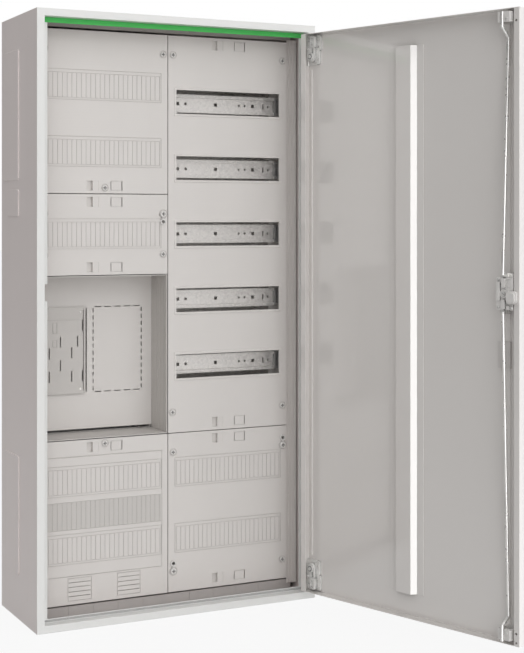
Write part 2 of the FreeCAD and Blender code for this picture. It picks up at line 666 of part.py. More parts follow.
def meter_plate():
    """Folded plate that a meter is screwed to, with staggered fixing slots."""
    face_y = (BAY_BACK - 5, BAY_BACK - 3.5)
    x = (-246, -137)
    z = (401, 563)
    plate = box(x, (face_y[0], BAY_BACK), z)
    inside = box((x[0] + 1.2, x[1] - 1.2), (face_y[1], BAY_BACK + 1), (z[0] - 1, z[1] + 1))
    bead = box((x[1] - 3.2, x[1] - 0.6), (face_y[0] - 1, face_y[0]), (z[0] + 1, z[1] - 1))
    plate = plate.cut(inside).fuse(bead)
    slots = []
    for slot_x, lows in ((-230, (445,)), (-207.6, (467, 423.5)), (-186, (488.5, 444.5)),
                         (-164, (467.5, 423.5)), (-152.5, (489,)), (-143.2, (518.5, 423.5))):
        for low in lows:
            slot = box((slot_x - 1.1, slot_x + 1.1), (face_y[0] - 1, face_y[1] + 1), (low, low + 20.5))
            slots.append(slot)
    for low, high in ((514, 535), (488.7, 502.3)):
        frame_y = (face_y[0] - 1, face_y[0] + 1)
        slots.append(ring((-202, -192.6), (low, high), (-200.4, -194.2), (low + 1.6, high - 1.6), frame_y))
    slots.append(box((x[0], x[1] - 6), (face_y[0] - 1, face_y[0] + 1), (538.4, 540.2)))
    slots.append(box((x[1] - 5, x[1] - 3.8), (face_y[0] - 1, face_y[1] + 1), (z[0] + 5, z[1] - 5)))
    return plate.cut(slots)


def meter_plate_screws():
    screws = []
    for x in (-238, -147.5):
        for z in (409, 554):
            head = Part.makeSphere(3.6, Vector(x, BAY_BACK - 2.6, z))
            head = head.common(box((x - 5, x + 5), (BAY_BACK - 8, BAY_BACK - 5), (z - 5, z + 5)))
            screws.append(head.cut(box((x - 5, x + 5), (BAY_BACK - 8, BAY_BACK - 6), (z - 0.4, z + 0.4))))
    return Part.makeCompound(screws)


# ---- terminals behind the bottom left cover ------------------------------------------
TERMINAL_BARS = {"neutral_bar": 140.0, "earth_bar": 66.0}


def terminal_bar(z):
    bar = box((-232, -28), (140, 146), (z - 4.5, z + 4.5))
    holes = [round_y(-222 + 13 * index, (138, 148), z, 1.9) for index in range(1, 14)]
    return bar.cut(holes)


def terminal_screws():
    screws = []
    for z in TERMINAL_BARS.values():
        for index in range(1, 14):
            x = -222 + 13 * index
            shank = round_y(x, (139.5, 147), z, 1.9)
            head = round_y(x, (136.5, 140), z, 3.2)
            slit = box((x - 4, x + 4), (136, 137.5), (z - 0.4, z + 0.4))
            screws.append(join([head, shank]).cut(slit))
    return Part.makeCompound(screws)


def bar_supports():
    """Insulating blocks between the rear panel and the terminal bars."""
    blocks = []
    for z in TERMINAL_BARS.values():
        for x in (-230, -42):
            blocks.append(box((x, x + 12), (146, REAR_FACE), (z - 7, z + 7)))
    return Part.makeCompound(blocks)


def earth_stud():
    """Threaded stud with a washer and nut on the rear panel."""
    x, z = 60, 45
    stud = round_y(x, (190, REAR_FACE), z, 4)
    nut = round_y(x, (204, 211), z, 8)
    flats = []
    for angle in range(0, 360, 60):
        flat = box((x + 6.5, x + 10), (203, 212), (z - 10, z + 10))
        flat.rotate(Vector(x, 0, z), ALONG_Y, angle)
        flats.append(flat)
    washer = round_y(x, (211, 212.5), z, 9)
    return join([stud, nut.cut(flats), washer])


# ---- hinges --------------------------------------------------------------------------
def hinge_frame_brackets():
    """Lower knuckles with a plate that sits inside the hollow front frame."""
    brackets = []
    for low in HINGE_BOTTOMS:
        middle = low + HINGE_LENGTH / 2 - 0.2
        knuckle = round_z(HINGE_X, HINGE_Y, (low, middle), KNUCKLE_RADIUS)
        tongue = box((HINGE_X + 1, HINGE_X + 5), (SHEET, 2.8), (low, middle))
        plate = box((HINGE_X + 4.6, HALF_WIDTH - 1.6), (SHEET, 3.2), (low, low + HINGE_LENGTH))
        hole = round_z(HINGE_X, HINGE_Y, (low + 2, middle + 1), PIN_RADIUS)
        brackets.append(join([knuckle, tongue, plate]).cut(hole))
    return Part.makeCompound(brackets)


def hinge_pins():
    pins = []
    for low in HINGE_BOTTOMS:
        pins.append(round_z(HINGE_X, HINGE_Y, (low + 2, low + HINGE_LENGTH), PIN_RADIUS))
    return Part.makeCompound(pins)


def hinge_door_leaves():
    """Upper knuckles, each with a flat leaf that is screwed inside the door."""
    leaves = []
    for low in HINGE_BOTTOMS:
        high = low + HINGE_LENGTH
        middle = low + HINGE_LENGTH / 2
        knuckle = round_z(HINGE_X, HINGE_Y, (middle, high), KNUCKLE_RADIUS)
        neck = door_box((2, 9), (SHEET, 3.6), (middle, high))
        leaf = door_box((6, 27), (SHEET, 3.6), (low, high))
        bore = round_z(HINGE_X, HINGE_Y, (middle - 1, high + 1), PIN_RADIUS + RUNNING_GAP)
        leaves.append(join([knuckle, neck, leaf]).cut(bore))
    return Part.makeCompound(leaves)


def hinge_level(low, span, upper):
    """Two heights on a hinge; the upper hinge is the lower one turned upside down."""
    if upper:
        return (low + span[0], low + span[1])
    return (low + HINGE_LENGTH - span[1], low + HINGE_LENGTH - span[0])


def hinge_bodies():
    """Cast body on each hinge leaf: a stepped side plate, a block and a round-nosed arm."""
    base = 3.6
    bodies = []
    for low in HINGE_BOTTOMS:
        upper = low > HEIGHT / 2
        nose_z = hinge_level(low, (16, 16), upper)[0]
        side_plate = door_box((27, 37), (SHEET, 6), hinge_level(low, (28, 55.5), upper))
        side_plate = soften(side_plate, ALONG_Y, 1.5)
        end_plate = door_box((27, 34), (SHEET, 6), hinge_level(low, (1, 29), upper))
        end_plate = soften(end_plate, ALONG_Y, 3)
        bridge = door_box((22, 29.5), (base, 6), hinge_level(low, (5, 54), upper))
        block = door_box((15, 27.5), (base, 13), hinge_level(low, (34, 54), upper))
        block = soften(block, ALONG_Y, 1)
        recess = door_box((17.5, 25), (11, 14), hinge_level(low, (37, 51), upper))
        arm = door_box((6, 25), (base, 11), hinge_level(low, (16, 36), upper))
        nose = door_round(15.5, (base, 11), nose_z, 9.5)
        ridge = door_round(15.5, (11, 13), nose_z, 7.5)
        ridge = ridge.cut(door_round(15.5, (10, 14), nose_z, 5.5))
        boss = door_round(15.5, (11, 14.5), nose_z, 3.2)
        post = door_round(9.5, (base, 14), hinge_level(low, (31, 31), upper)[0], 2.4)
        link = soften(door_box((6.5, 12.5), (8, 10), hinge_level(low, (28, 50), upper)), ALONG_Y, 2.5)
        pivot = door_round(9.5, (7, 13), hinge_level(low, (46, 46), upper)[0], 2.0)
        slot = door_box((19, 23), (9, 12), hinge_level(low, (22, 32), upper))
        body = join([side_plate, end_plate, bridge, block, arm, nose, boss, post, link, pivot])
        bodies.append(body.fuse(ridge).cut([recess, slot]).removeSplitter())
    return Part.makeCompound(bodies)


def hinge_screws():
    screws = []
    for low in HINGE_BOTTOMS:
        for t, level in ((32.2, 34), (32.2, 49), (31, 10)):
            z = hinge_level(low, (level, level), low > HEIGHT / 2)[0]
            head = door_round(t, (6, 7.6), z, 2.2)
            slit = door_box((t - 3, t + 3), (6.9, 8), (z - 0.5, z + 0.5))
            screws.append(head.cut(slit))
    return Part.makeCompound(screws)


# ---- door ------------------------------------------------------------------------------
def door_panel():
    """Folded door: skin, four flanges, lips along the two long sides and low ribs near both of them."""
    z = (DOOR_BOTTOM, DOOR_TOP)
    t = (0, DOOR_WIDTH)
    shell = door_box(t, (0, DOOR_THICK), z)
    inside_t = (SHEET, DOOR_WIDTH - SHEET)
    inside_z = (DOOR_BOTTOM + SHEET, DOOR_TOP - SHEET)
    hollow = door_box(inside_t, (SHEET, DOOR_THICK - SHEET), inside_z)
    mouth = door_box((HINGE_SIDE_LIP, DOOR_WIDTH - FREE_SIDE_LIP), (SHEET, DOOR_THICK + 1), inside_z)
    ribs = [door_box((9.4, 11.2), (SHEET - 0.2, 3.4), (86, 1014))]
    for rib_z in ((48, 474), (526, 575), (633, 1056)):
        ribs.append(door_box((484.4, 486.2), (SHEET - 0.2, 2.6), rib_z))
    panel = shell.cut([hollow, mouth]).fuse(ribs)
    tools = []
    for low in HINGE_BOTTOMS:
        tools.append(door_box((-1, 4.6), (-1, 7), (low - 0.5, low + HINGE_LENGTH + 0.5)))
    tools.append(door_box((461, 487.6), (-1, SHEET + 1), (477, 522.6)))
    tools.append(door_round(LOCK_T, (-1, 3), LOCK_Z, 5.6))
    for hole_z in (25, 40, 1059):
        tools.append(door_round(512.3, (DOOR_THICK - 2, DOOR_THICK + 1), hole_z, 2.2))
    return panel.cut(tools)


def door_stiffener():
    """Hat section with sloping sides, up the middle of the door."""
    outside = [
        (STIFFENER_EDGE, SHEET),
        (STIFFENER_EDGE, 2 * SHEET),
        (STIFFENER_FOOT, 2 * SHEET),
        (STIFFENER_CROWN, STIFFENER_HEIGHT),
    ]
    inside = [
        (STIFFENER_CROWN - 0.6, STIFFENER_HEIGHT - SHEET),
        (STIFFENER_FOOT - 0.6, SHEET),
    ]
    left = [(-across, n) for across, n in reversed(outside)]
    left_inside = [(-across, n) for across, n in reversed(inside)]
    profile = outside + left + left_inside + inside
    points = [door_point(STIFFENER_T + across, n, STIFFENER_Z[0]) for across, n in profile]
    outline = Part.makePolygon(points + points[:1])
    return Part.Face(outline).extrude(Vector(0, 0, STIFFENER_Z[1] - STIFFENER_Z[0]))


def handle_recess_tub():
    """Shallow finger tub that fills the cut-out below the lock."""
    flange = door_box((459, 489.6), (-0.8, 0), (475, 524.6))
    body = door_box((461.2, 487.4), (-0.8, 4.8), (477.2, 522.4))
    hollow = door_box((462.6, 486), (-2, 3.4), (478.6, 521))
    return soften(flange, ALONG_Y, 3).fuse(body).cut(hollow).removeSplitter()


def lock_housing():
    """Box round the pinion and the toothed ends of the two rods, with raised pads on its face."""
    t = (470.8, 506.0)
    z = (576.5, 631.5)
    face = DOOR_THICK
    body = soften(door_box(t, (SHEET, face), z), ALONG_Y, 2)
    hollow = door_box((t[0] + 1.4, t[1] - 1.4), (SHEET - 1, face - 1.6), (z[0] + 1.4, z[1] - 1.4))
    rod_slots = door_box((t[0] + 1.4, t[1] - 1.4), (4.5, 13.5), (z[0] - 1, z[1] + 1))
    bearing = door_round(LOCK_T, (face - 2, face + 6), LOCK_Z, 4.05)
    pads = [
        soften(door_box((472, 480), (face - 0.5, face + 2.5), (592, 624)), ALONG_Y, 2),
        soften(door_box((484, 491), (face - 0.5, face + 4), (614, 630)), ALONG_Y, 2),
        soften(door_box((484, 491), (face - 0.5, face + 4), (578, 594)), ALONG_Y, 2),
        soften(door_box((493, 500), (face - 0.5, face + 2), (578, 584)), ALONG_Y, 1.5),
        door_round(LOCK_T, (face - 0.5, face + 1.4), LOCK_Z, 7.5),
    ]
    pocket = door_box((493, 500.5), (face - 1, face + 1), (613.5, 628))
    return body.fuse(pads).cut([hollow, rod_slots, bearing, pocket]).removeSplitter()


def lock_cap():
    """Round-nosed latch beside the spindle; it enters the notch in the frame."""
    base = door_box((494.5, 516), (DOOR_THICK, DOOR_THICK + 5), (587, 609))
    top = door_box((497, 514), (DOOR_THICK + 5, DOOR_THICK + 8.5), (589.5, 606.5))
    return join([soften(base, ALONG_Y, 6), soften(top, ALONG_Y, 5)])


def rod_guide(z, bend):
    """Guide block with an open round groove for the rod and a slot that lets the rod's bend in."""
    half = ROD_RADIUS + RUNNING_GAP
    ends = (z[0] - 1, z[1] + 1)
    middle = (z[0] + z[1]) / 2
    block = soften(door_box((478, 504), (SHEET, 27.5), z), ALONG_Z, 2)
    relief = door_box((482, 500), (6, 19), ends)
    bore = Part.makeCylinder(half, ends[1] - ends[0], door_point(ROD_T, ROD_END_N, ends[0]), ALONG_Z)
    mouth = door_box((ROD_T - half, ROD_T + half), (ROD_END_N, 29), ends)
    bend_slot = door_box((ROD_T - half - 0.2, ROD_T + half + 0.2), (5, 29), sorted(bend))
    line = door_box((477, 505), (27, 29), (middle - 0.4, middle + 0.4))
    return block.cut([relief, bore, mouth, bend_slot, line])


def rod_guides():
    """Guides at the top and bottom of the door."""
    upper = rod_guide(UPPER_GUIDE, (UPPER_GUIDE[0] - 1, ROD_UPPER_BENDS[1] + ROD_TRAVEL + 1.8))
    lower = rod_guide(LOWER_GUIDE, (LOWER_GUIDE[1] + 1, ROD_LOWER_BENDS[1] - ROD_TRAVEL - 1.8))
    return Part.makeCompound([upper, lower])


def door_screws():
    """Pan-head screws of the lock housing and the guides."""
    screws = []
    for t, n, z in ((475, DOOR_THICK, 581), (475, DOOR_THICK, 628), (502.8, DOOR_THICK, 581),
                    (497.5, 27.5, 1062), (497.5, 27.5, 40.5)):
        head = door_round(t, (n, n + 1.8), z, 2.6)
        head = head.makeChamfer(0.6, [e for e in head.Edges if e.CenterOfMass.y > DOOR_FRONT + n + 1.7])
        screws.append(head.cut(door_box((t - 3, t + 3), (n + 0.9, n + 3), (z - 0.4, z + 0.4))))
    return Part.makeCompound(screws)


def handle_escutcheon():
    """Plate under the handle on the outside of the door."""
    plate = door_box((470, 504), (-2, 0), (582, 626))
    return soften(plate, ALONG_Y, 8).cut(door_round(LOCK_T, (-3, 1), LOCK_Z, 5.6))


def door_handle():
    """Turn lever; here it points to the hinge, with the rods drawn in."""
    hub = door_round(LOCK_T, (-16, -2.2), LOCK_Z, 10)
    hub = hub.makeChamfer(1, [e for e in hub.Edges if e.CenterOfMass.y < DOOR_FRONT - 15.9])
    lever = door_box((LOCK_T - 108, LOCK_T), (-14.5, -7.5), (LOCK_Z - 8, LOCK_Z + 8))
    lever = soften(lever, ALONG_Y, 7.8)
    spindle = door_round(LOCK_T, (-3, 8), LOCK_Z, 5)
    key_hole = door_round(LOCK_T, (-17, -13), LOCK_Z, 3)
    return join([lever, hub, spindle]).cut(key_hole)


# ---- lock train ----------------------------------------------------------------------
def tooth(root, tip, root_half, tip_half, n):
    """One straight-sided tooth that points up from the spindle."""
    corners = [(-root_half, root), (root_half, root), (tip_half, tip), (-tip_half, tip)]
    points = [door_point(LOCK_T + a, n[0], LOCK_Z + b) for a, b in corners]
    outline = Part.makePolygon(points + points[:1])
    return Part.Face(outline).extrude(Vector(0, n[1] - n[0], 0))


def lock_pinion():
    """Pinion on the spindle; it drives one rod up and the other down."""
    n = (8.0, 13.0)
    root = PINION_RADIUS - 1.3
    pieces = [door_round(LOCK_T, n, LOCK_Z, root)]
    centre = door_point(LOCK_T, 0, LOCK_Z)
    for index in range(PINION_TEETH):
        one = tooth(root - 0.5, PINION_RADIUS + 0.9, 1.15, 0.45, n)
        one.rotate(centre, ALONG_Y, index * 360.0 / PINION_TEETH)
        pieces.append(one)
    pieces.append(door_round(LOCK_T, (n[1] - 1, DOOR_THICK + 2), LOCK_Z, 4))
    return join(pieces)


def rack(side):
    """Toothed bar beside the pinion, with a carrier that ends outside the lock housing.

    Side +1 is nearer the free edge and serves the upper rod; side -1 serves the lower rod.
    """
    n = (8.0, 13.0)
    pitch = math.pi * PINION_MODULE
    line = PINION_RADIUS
    back = sorted((LOCK_T + side * (line + 1.2), LOCK_T + side * (line + 3.7)))
    teeth_z = sorted((LOCK_Z - side * 23, LOCK_Z + side * 10))
    carrier_z = sorted((LOCK_Z + side * 28, LOCK_Z + side * 34))
    bar_z = (min(teeth_z[0], carrier_z[0]), max(teeth_z[1], carrier_z[1]))
    carrier_t = (min(back[0], ROD_T - ROD_RADIUS), max(back[1], ROD_T + ROD_RADIUS))
    pieces = [
        door_box(back, n, bar_z),
        door_box(carrier_t, n, carrier_z),
        door_box((ROD_T - ROD_RADIUS, ROD_T + ROD_RADIUS), (n[0], ROD_LOCK_N), carrier_z),
    ]
    count = int((teeth_z[1] - teeth_z[0]) / pitch)
    for index in range(count):
        z = LOCK_Z + (index - count // 2 + 0.5) * pitch
        if z - 1.3 < teeth_z[0] or z + 1.3 > teeth_z[1]:
            continue
        corners = [(line + 1.3, -1.15), (line + 1.3, 1.15), (line - 0.9, 0.45), (line - 0.9, -0.45)]
        points = [door_point(LOCK_T + side * a, n[0], z + b) for a, b in corners]
        face = Part.Face(Part.makePolygon(points + points[:1]))
        pieces.append(face.extrude(Vector(0, n[1] - n[0], 0)))
    return pieces


def round_run(points):
    """Round bar through a chain of points, with ball corners."""
    pieces = []
    for start, end in zip(points, points[1:]):
        run = end - start
        pieces.append(Part.makeCylinder(ROD_RADIUS, run.Length, start, run))
    for corner in points[1:-1]:
        pieces.append(Part.makeSphere(ROD_RADIUS, corner))
    return pieces


def lock_rod(side, bends, end_z):
    """Rack and round rod: it leans back to the skin, then steps out again to its guide."""
    points = [
        door_point(ROD_T, ROD_LOCK_N, LOCK_Z + side * 31),
        door_point(ROD_T, ROD_BEND_N, bends[0]),
        door_point(ROD_T, ROD_END_N, bends[1]),
        door_point(ROD_T, ROD_END_N, end_z),
    ]
    return join(rack(side) + round_run(points))


# ---- write every node -------------------------------------------------------------------
os.makedirs("parts", exist_ok=True)

left_field, right_field = FIELD_CENTRES
save("rear_panel", rear_panel())
save("left_side_panel", side_panel(-1))
save("right_side_panel", side_panel(1))
save("top_panel", end_panel((HEIGHT - SHEET, HEIGHT)))
save("bottom_panel", end_panel((0, SHEET)))
save("top_entry_plate", entry_plate(HEIGHT - SHEET, -1))
save("bottom_entry_plate", entry_plate(SHEET, 1))
save("front_frame", front_frame())
save("door_seal", door_seal())
save("green_trim_strip", green_trim_strip())

save("left_upright", side_upright(-1))
save("right_upright", side_upright(1))
save("centre_upright", centre_upright())
save("top_cross_rail", cross_rail(HEIGHT - CROSS_INSET, FIELD_TOP + CROSS_GAP))
save("bottom_cross_rail", cross_rail(CROSS_INSET, FIELD_BOTTOM - CROSS_GAP))
save("side_filler_strips", side_filler_strips())
save("upright_bolts", upright_bolts())
save("open_row_rails", rail_pair(((right_field, OPEN_ROWS),)))
save("covered_row_rails", rail_pair((
    (left_field, LEFT_TOP_ROWS + LEFT_MIDDLE_ROWS + LEFT_BOTTOM_ROWS),
    (right_field, RIGHT_COVERED_ROWS),
)))
save("rail_brackets", rail_brackets())

save("top_left_cover", top_left_cover())
save("middle_left_cover", middle_left_cover())
save("bottom_left_cover", bottom_left_cover())
save("top_right_cover", top_right_cover())
save("bottom_right_cover", bottom_right_cover())
save("blanking_strip", blanking_strip())
save("cover_screws", cover_screws())
for lock_name, (lock_x, lock_z, eye_side) in TURN_LOCK_PLACES.items():
    save(lock_name, turn_lock(lock_x, lock_z, eye_side))

save("meter_bay_frame", meter_bay_frame())
save("meter_back_plate", meter_back_plate())
save("meter_plate", meter_plate())
save("meter_plate_screws", meter_plate_screws())

for bar_name, bar_z in TERMINAL_BARS.items():
    save(bar_name, terminal_bar(bar_z))
save("terminal_screws", terminal_screws())
save("bar_supports", bar_supports())
save("earth_stud", earth_stud())

save("hinge_frame_brackets", hinge_frame_brackets())
save("hinge_pins", hinge_pins())
save("hinge_door_leaves", hinge_door_leaves(), on_door=True)
save("hinge_bodies", hinge_bodies(), on_door=True)
save("hinge_screws", hinge_screws(), on_door=True)

save("door_panel", door_panel(), on_door=True)
save("door_stiffener", door_stiffener(), on_door=True)
save("handle_recess_tub", handle_recess_tub(), on_door=True)
save("lock_housing", lock_housing(), on_door=True)
save("lock_cap", lock_cap(), on_door=True)
save("rod_guides", rod_guides(), on_door=True)
save("door_screws", door_screws(), on_door=True)
save("handle_escutcheon", handle_escutcheon(), on_door=True)
save("door_handle", door_handle(), on_door=True)
save("lock_pinion", lock_pinion(), on_door=True)
save("upper_lock_rod", lock_rod(1, ROD_UPPER_BENDS, ROD_UPPER_END), on_door=True)
save("lower_lock_rod", lock_rod(-1, ROD_LOWER_BENDS, ROD_LOWER_END), on_door=True)
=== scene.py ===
import math

import bmesh
import bpy
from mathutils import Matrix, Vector, noise


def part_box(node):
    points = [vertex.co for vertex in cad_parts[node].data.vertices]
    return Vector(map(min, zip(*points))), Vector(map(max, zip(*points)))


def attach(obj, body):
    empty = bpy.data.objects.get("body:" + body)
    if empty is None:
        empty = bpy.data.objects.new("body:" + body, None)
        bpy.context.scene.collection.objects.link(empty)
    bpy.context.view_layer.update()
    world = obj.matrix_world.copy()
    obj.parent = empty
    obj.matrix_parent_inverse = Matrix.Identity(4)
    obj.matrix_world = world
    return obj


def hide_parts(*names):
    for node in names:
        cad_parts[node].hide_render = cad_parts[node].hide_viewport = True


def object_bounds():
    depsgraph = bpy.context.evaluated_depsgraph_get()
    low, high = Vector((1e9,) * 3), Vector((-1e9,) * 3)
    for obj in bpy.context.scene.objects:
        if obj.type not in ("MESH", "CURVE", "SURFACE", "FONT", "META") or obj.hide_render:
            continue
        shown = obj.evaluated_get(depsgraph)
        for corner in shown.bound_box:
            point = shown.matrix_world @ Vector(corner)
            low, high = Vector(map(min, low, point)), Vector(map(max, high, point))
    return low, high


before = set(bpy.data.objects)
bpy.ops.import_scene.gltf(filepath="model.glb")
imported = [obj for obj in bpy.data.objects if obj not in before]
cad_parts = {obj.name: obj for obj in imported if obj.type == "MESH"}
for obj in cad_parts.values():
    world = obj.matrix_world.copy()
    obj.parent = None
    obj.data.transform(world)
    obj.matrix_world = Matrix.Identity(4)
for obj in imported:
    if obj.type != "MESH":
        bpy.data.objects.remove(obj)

# Looks for the wall cabinet: painted steel casing, moulded covers, zinc rails and fittings.
# Every mesh is in metres in the frame of the CAD model.

CAD_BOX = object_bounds()

# ---- colours (linear light) --------------------------------------------------------
WHITE_PAINT = (0.80, 0.80, 0.785)
# Painted shade tint: the casing paint is the white paint warmed, for the warm light in the shade
# of the casing's sides.
CASING_PAINT = (0.80, 0.73, 0.71)
DOOR_PAINT = (0.775, 0.745, 0.72)
COVER_PLASTIC = (0.72, 0.69, 0.665)
STRIP_PLASTIC = (0.60, 0.575, 0.55)
LIGHT_PLASTIC = (0.74, 0.72, 0.70)
GREY_FITTING = (0.36, 0.355, 0.35)
DARK_PLASTIC = (0.035, 0.035, 0.037)
GREEN_PLASTIC = (0.045, 0.51, 0.085)
FOAM = (0.48, 0.475, 0.47)
ZINC = (0.76, 0.735, 0.71)
STEEL = (0.80, 0.79, 0.77)
ROD_STEEL = (0.84, 0.83, 0.81)
CAST_ZINC = (0.80, 0.79, 0.77)
# Casing paint darkened into painted shade, for the cross rails in the shade under the covers.
SHADED_PAINT = (0.52, 0.495, 0.48)
TUB_PLASTIC = (0.62, 0.595, 0.575)
BRASS = (0.66, 0.50, 0.22)


# ---- material helpers ----------------------------------------------------------------
# Blender gives a colour mix node these sockets, beside others for numbers and vectors.
MIX_AMOUNT = 0
MIX_FIRST_COLOUR = 6
MIX_SECOND_COLOUR = 7
MIX_RESULT_COLOUR = 2


class Graph:
    """Adds nodes to one material and wires them together."""

    # Rays per shading point of the nodes that look round a surface.
    SAMPLES = 4
    # Cosine between the rounded and the flat normal, on a flat face and on an edge.
    EDGE_COSINES = (0.98, 0.80)
    # Share of open sky, in the open and deep in a corner.
    OPEN_SKY = (0.75, 0.25)

    def __init__(self, name):
        self.material = bpy.data.materials.new(name)
        self.material.use_nodes = True
        self.tree = self.material.node_tree
        self.shader = self.tree.nodes["Principled BSDF"]
        self.place = self.add("ShaderNodeTexCoord").outputs["Object"]

    def add(self, kind, **settings):
        node = self.tree.nodes.new(kind)
        for key, value in settings.items():
            setattr(node, key, value)
        return node

    def wire(self, source, target):
        if isinstance(source, bpy.types.NodeSocket):
            self.tree.links.new(source, target)
        else:
            target.default_value = source

    def stretched(self, stretch):
        """The object's coordinates, scaled differently along each axis."""
        mapping = self.add("ShaderNodeMapping")
        self.wire(self.place, mapping.inputs["Vector"])
        mapping.inputs["Scale"].default_value = stretch
        return mapping.outputs["Vector"]

    def noise(self, scale, detail=3.0, stretch=None):
        """Soft noise with this many waves per metre."""
        place = self.stretched(stretch) if stretch else self.place
        node = self.add("ShaderNodeTexNoise")
        self.wire(place, node.inputs["Vector"])
        node.inputs["Scale"].default_value = scale
        node.inputs["Detail"].default_value = detail
        return node.outputs["Fac"]

    def cells(self, scale):
        """Random value per cell of a broken pattern, with this many cells per metre."""
        node = self.add("ShaderNodeTexVoronoi")
        self.wire(self.place, node.inputs["Vector"])
        node.inputs["Scale"].default_value = scale
        split = self.add("ShaderNodeSeparateColor")
        self.wire(node.outputs["Color"], split.inputs["Color"])
        return split.outputs["Red"]

    def span(self, value, low, high, to_low=0.0, to_high=1.0):
        """Value remapped from one range to another and clamped."""
        node = self.add("ShaderNodeMapRange")
        self.wire(value, node.inputs["Value"])
        node.inputs["From Min"].default_value = low
        node.inputs["From Max"].default_value = high
        node.inputs["To Min"].default_value = to_low
        node.inputs["To Max"].default_value = to_high
        return node.outputs["Result"]

    def math(self, operation, first, second):
        node = self.add("ShaderNodeMath", operation=operation)
        self.wire(first, node.inputs[0])
        self.wire(second, node.inputs[1])
        return node.outputs["Value"]

    def blend(self, amount, first, second):
        """Colour mixed from first to second."""
        node = self.add("ShaderNodeMix", data_type="RGBA")
        self.wire(amount, node.inputs[MIX_AMOUNT])
        self.wire(rgba(first), node.inputs[MIX_FIRST_COLOUR])
        self.wire(rgba(second), node.inputs[MIX_SECOND_COLOUR])
        return node.outputs[MIX_RESULT_COLOUR]

    def edges(self, radius):
        """One along sharp edges, zero on flat faces."""
        rounded = self.add("ShaderNodeBevel", samples=self.SAMPLES)
        rounded.inputs["Radius"].default_value = radius
        plain = self.add("ShaderNodeNewGeometry")
        dot = self.add("ShaderNodeVectorMath", operation="DOT_PRODUCT")
        self.wire(rounded.outputs["Normal"], dot.inputs[0])
        self.wire(plain.outputs["Normal"], dot.inputs[1])
        return self.span(dot.outputs["Value"], *self.EDGE_COSINES)

    def hollows(self, distance):
        """One deep in corners, zero in the open; the mask for painted shade in corners and
        recesses.
        """
        node = self.add("ShaderNodeAmbientOcclusion", samples=self.SAMPLES)
        node.inputs["Distance"].default_value = distance
        return self.span(node.outputs["AO"], *self.OPEN_SKY)

    def bump(self, height, strength, distance):
        """Relief on the whole surface, up to distance metres high."""
        node = self.add("ShaderNodeBump")
        self.wire(height, node.inputs["Height"])
        node.inputs["Strength"].default_value = strength
        node.inputs["Distance"].default_value = distance
        self.wire(node.outputs["Normal"], self.shader.inputs["Normal"])

    def finish(self, colour, roughness, metallic=0.0):
        """Wire the finished channels to the shader and give back the material."""
        self.wire(rgba(colour), self.shader.inputs["Base Color"])
        self.wire(roughness, self.shader.inputs["Roughness"])
        self.wire(metallic, self.shader.inputs["Metallic"])
        return self.material


def rgba(colour):
    """Colour as a socket takes it: a socket as it is, three numbers with full alpha."""
    if isinstance(colour, bpy.types.NodeSocket):
        return colour
    return (colour[0], colour[1], colour[2], 1.0)


def scaled(colour, factor):
    """Colour made darker or lighter by a factor."""
    return tuple(channel * factor for channel in colour)


# ---- materials ---------------------------------------------------------------------------
# Most values of a noise node lie in this span.
CLOUD = (0.3, 0.7)


def powder_paint(name, colour, roughness):
    """Powder coat: orange peel, faint clouding, painted shade in corners and rubbed edges."""
    g = Graph(name)
    clouds = g.span(g.noise(3.0, 4.0), *CLOUD)
    base = g.blend(clouds, scaled(colour, 0.985), scaled(colour, 1.01))
    specks = g.span(g.noise(900.0, 2.0), 0.70, 0.80)
    base = g.blend(g.math("MULTIPLY", specks, 0.10), base, scaled(colour, 0.6))
    # Painted shade: the paint is darkened in corners and recesses.
    base = g.blend(g.math("MULTIPLY", g.hollows(0.010), 0.20), base, scaled(colour, 0.75))
    worn = g.math("MULTIPLY", g.edges(0.0012), g.span(g.noise(60.0, 4.0), 0.4, 0.7))
    base = g.blend(g.math("MULTIPLY", worn, 0.5), base, scaled(colour, 1.12))
    shine = g.span(g.noise(28.0, 3.0), *CLOUD, roughness - 0.03, roughness + 0.04)
    texture = g.math("ADD", g.noise(420.0, 2.0), g.math("MULTIPLY", g.noise(1500.0, 1.0), 0.35))
    g.bump(texture, 0.10, 0.0004)
    g.shader.inputs["Coat Weight"].default_value = 0.15
    g.shader.inputs["Coat Roughness"].default_value = 0.22
    return g.finish(base, shine)


def gloss_paint(name, colour, roughness):
    """Smooth glossy coat: faint waves, fine dust, hairline rubs and lighter edges."""
    g = Graph(name)
    clouds = g.span(g.noise(2.0, 3.0), *CLOUD)
    base = g.blend(clouds, scaled(colour, 0.985), scaled(colour, 1.01))
    dust = g.span(g.noise(1300.0, 2.0), 0.72, 0.80)
    base = g.blend(g.math("MULTIPLY", dust, 0.08), base, scaled(colour, 0.6))
    worn = g.math("MULTIPLY", g.edges(0.0012), g.span(g.noise(50.0, 4.0), 0.4, 0.7))
    base = g.blend(g.math("MULTIPLY", worn, 0.5), base, scaled(colour, 1.12))
    rubs = g.span(g.noise(45.0, 5.0, (1.0, 1.0, 0.08)), 0.55, 0.75)
    shine = g.span(rubs, 0.0, 1.0, roughness, roughness + 0.04)
    waves = g.math("ADD", g.noise(14.0, 2.0), g.math("MULTIPLY", g.noise(700.0, 1.0), 0.02))
    g.bump(waves, 0.004, 0.0010)
    g.shader.inputs["Coat Weight"].default_value = 1.0
    g.shader.inputs["Coat IOR"].default_value = 1.6
    g.shader.inputs["Coat Roughness"].default_value = 0.03
    return g.finish(base, shine)


